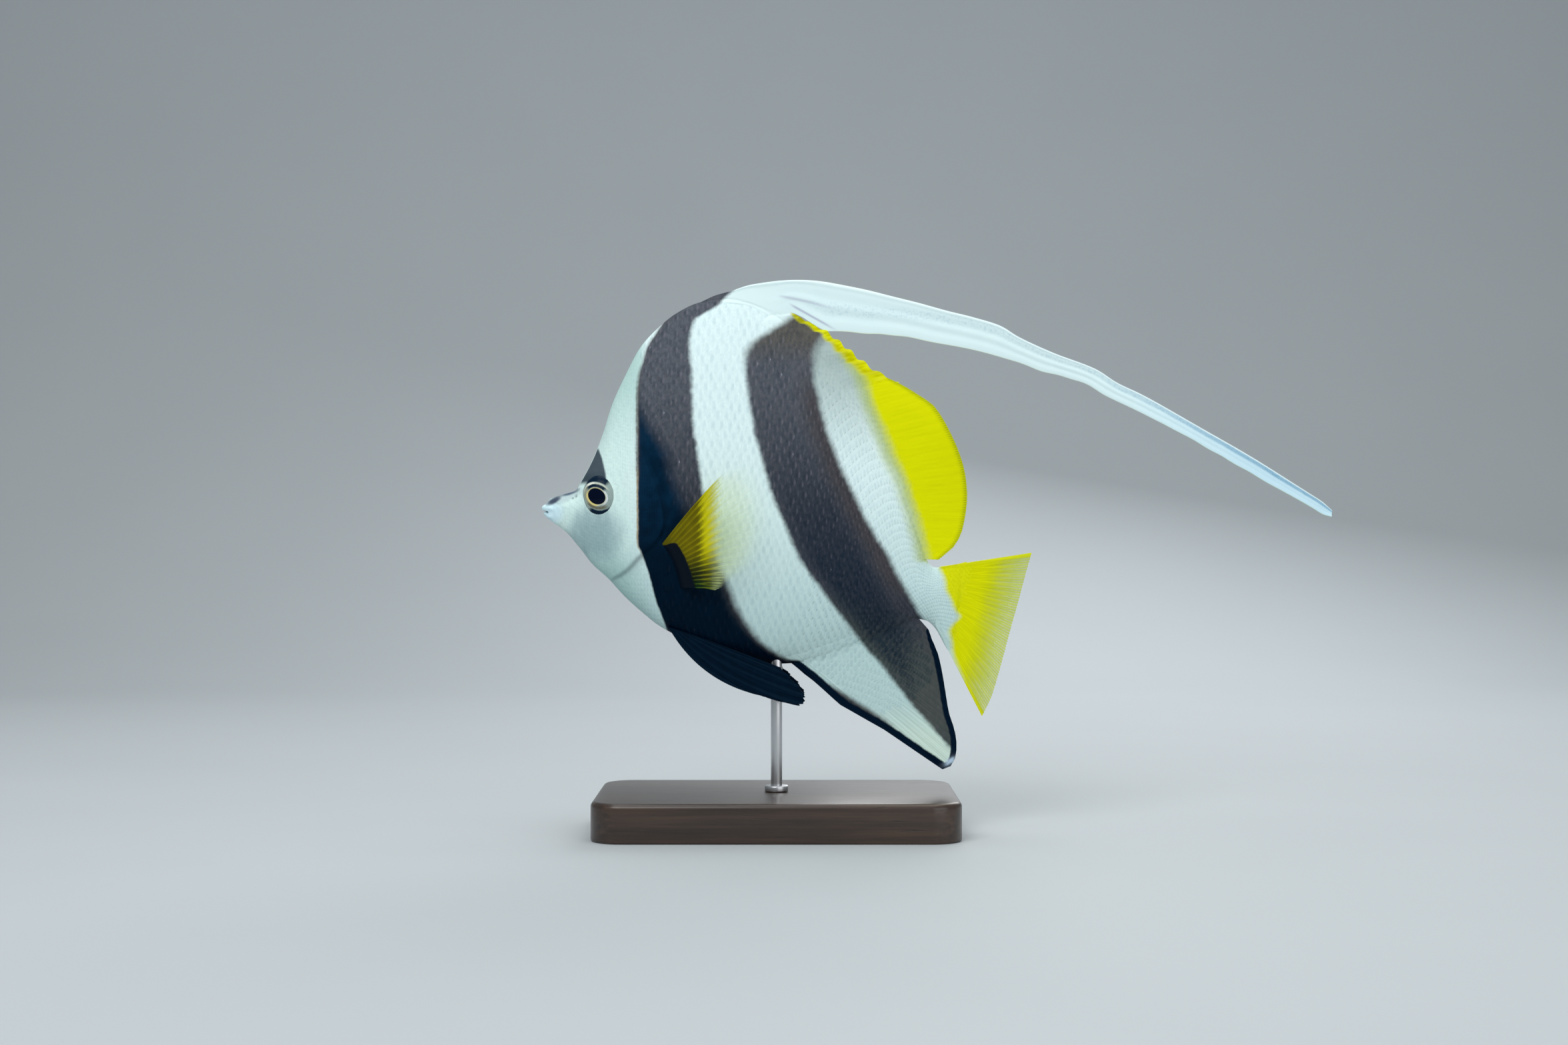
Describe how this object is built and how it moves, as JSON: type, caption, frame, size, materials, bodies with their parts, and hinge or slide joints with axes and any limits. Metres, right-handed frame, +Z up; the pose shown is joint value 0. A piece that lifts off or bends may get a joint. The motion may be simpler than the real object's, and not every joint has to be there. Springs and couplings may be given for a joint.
{
  "type": "bannerfish",
  "caption": "Longfin bannerfish, life size, swimming level: deep thin body, snout with small lips, long white dorsal pennant, yellow rear fins, on a plain rod and base.",
  "frame": {"origin": "centre of the stand base's underside", "axes": "+X towards the tail, +Y towards the fish's right side, +Z up"},
  "size_m": [0.3088, 0.084, 0.2145],
  "materials": {
    "skin": "satin",
    "eye": "gloss",
    "white_fin": "satin",
    "yellow_fin": "satin",
    "dark_fin": "satin",
    "base_wood": "satin",
    "rod_steel": "satin"
  },
  "bodies": {
    "root": {"head": "skin", "torso": "skin", "tail_peduncle": "skin", "eye_left": "eye", "eye_right": "eye", "dorsal_banner": "white_fin", "dorsal_fin_spiny": "yellow_fin", "dorsal_fin_soft": "yellow_fin", "anal_fin": "dark_fin", "caudal_fin": "yellow_fin", "pectoral_fin_left": "yellow_fin", "pectoral_fin_right": "yellow_fin", "pelvic_fin_left": "dark_fin", "pelvic_fin_right": "dark_fin", "stand_base": "base_wood", "stand_rod": "rod_steel"}
  },
  "joints": []
}
